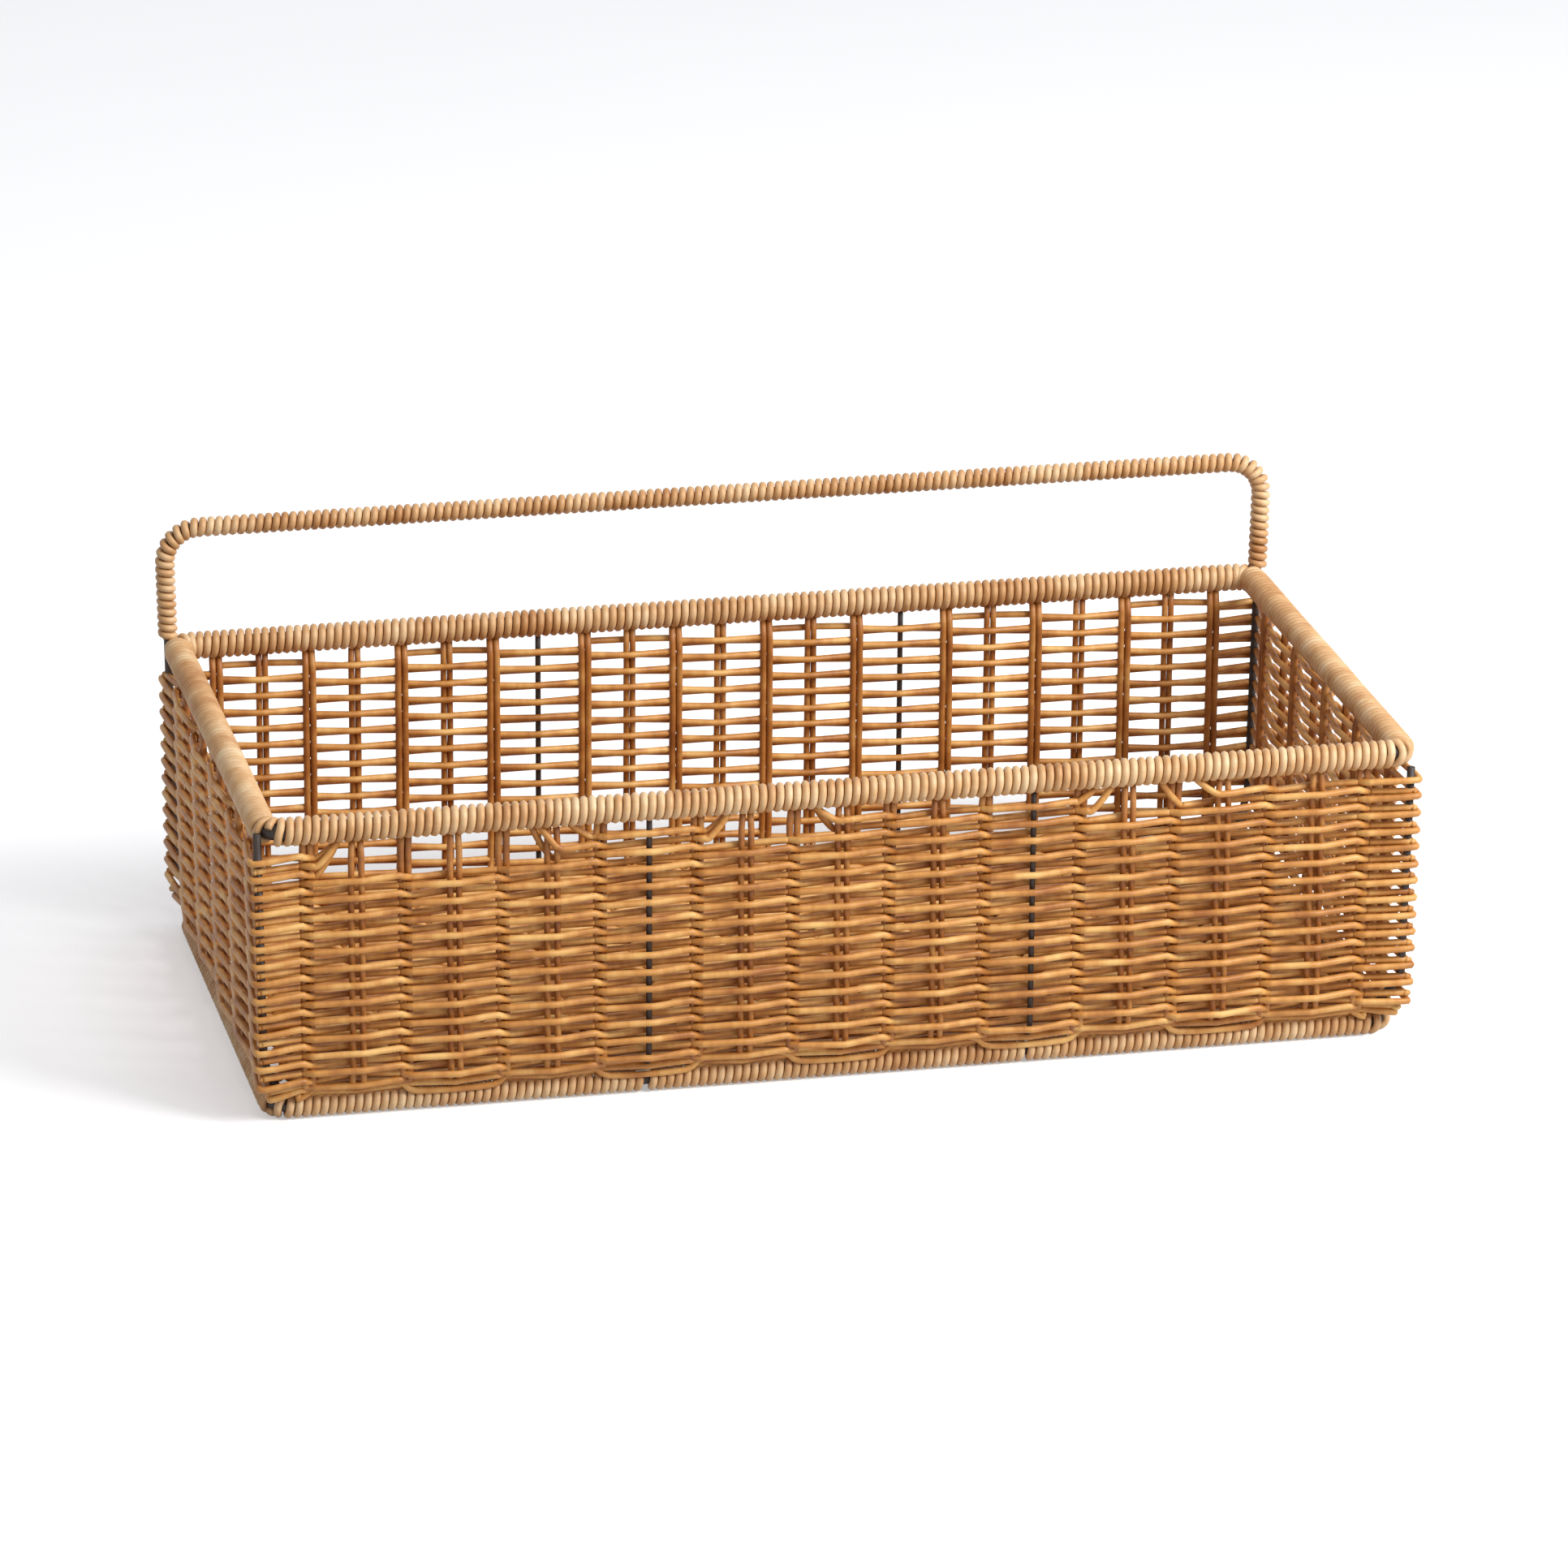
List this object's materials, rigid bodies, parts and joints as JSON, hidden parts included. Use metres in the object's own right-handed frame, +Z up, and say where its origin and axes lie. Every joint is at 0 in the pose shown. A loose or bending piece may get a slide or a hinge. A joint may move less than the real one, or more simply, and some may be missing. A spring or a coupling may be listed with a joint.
{
  "type": "wall basket",
  "caption": "Open rectangular basket woven of round plastic cane on a steel wire frame, with a fixed wrapped hoop along the back to hang it on a wall; also stands on its flat base.",
  "frame": {"origin": "on the ground, under the middle of the basket", "axes": "+X to the right seen from the front, +Y to the back, where the hanging hoop stands, +Z up"},
  "size_m": [0.4046, 0.2028, 0.1515],
  "materials": {
    "steel_wire": "dark brown stoved lacquer, satin",
    "weft_cane": "extruded round polyethylene cane, honey brown, satin",
    "stake_cane": "extruded round polyethylene cane, honey brown, satin",
    "wrap_cane": "extruded round polyethylene cane, pale honey, satin"
  },
  "bodies": {
    "root": {"rim_wire": "steel_wire", "base_wire": "steel_wire", "hanger_wire": "steel_wire", "front_post_left": "steel_wire", "front_post_right": "steel_wire", "cross_wire_01": "steel_wire", "cross_wire_02": "steel_wire", "weft_row_01": "weft_cane", "weft_row_02": "weft_cane", "weft_row_03": "weft_cane", "weft_row_04": "weft_cane", "weft_row_05": "weft_cane", "weft_row_06": "weft_cane", "weft_row_07": "weft_cane", "weft_row_08": "weft_cane", "weft_row_09": "weft_cane", "weft_row_10": "weft_cane", "weft_row_11": "weft_cane", "weft_row_12": "weft_cane", "weft_row_13": "weft_cane", "weft_row_14": "weft_cane", "floor_weave": "weft_cane", "cross_stake_01": "stake_cane", "cross_stake_02": "stake_cane", "cross_stake_03": "stake_cane", "cross_stake_04": "stake_cane", "cross_stake_05": "stake_cane", "cross_stake_06": "stake_cane", "cross_stake_07": "stake_cane", "cross_stake_08": "stake_cane", "cross_stake_09": "stake_cane", "cross_stake_10": "stake_cane", "cross_stake_11": "stake_cane", "cross_stake_12": "stake_cane", "cross_stake_13": "stake_cane", "cross_stake_14": "stake_cane", "cross_stake_15": "stake_cane", "cross_stake_16": "stake_cane", "cross_stake_17": "stake_cane", "cross_stake_18": "stake_cane", "cross_stake_19": "stake_cane", "cross_stake_20": "stake_cane", "cross_stake_21": "stake_cane", "length_stake_01": "stake_cane", "length_stake_02": "stake_cane", "length_stake_03": "stake_cane", "length_stake_04": "stake_cane", "length_stake_05": "stake_cane", "length_stake_06": "stake_cane", "length_stake_07": "stake_cane", "length_stake_08": "stake_cane", "length_stake_09": "stake_cane", "rim_wrap_front": "wrap_cane", "rim_wrap_left": "wrap_cane", "rim_wrap_rear": "wrap_cane", "base_wrap_front": "wrap_cane", "base_wrap_rear": "wrap_cane", "base_wrap_left": "wrap_cane", "base_wrap_right": "wrap_cane", "hanger_wrap": "wrap_cane"}
  },
  "joints": []
}
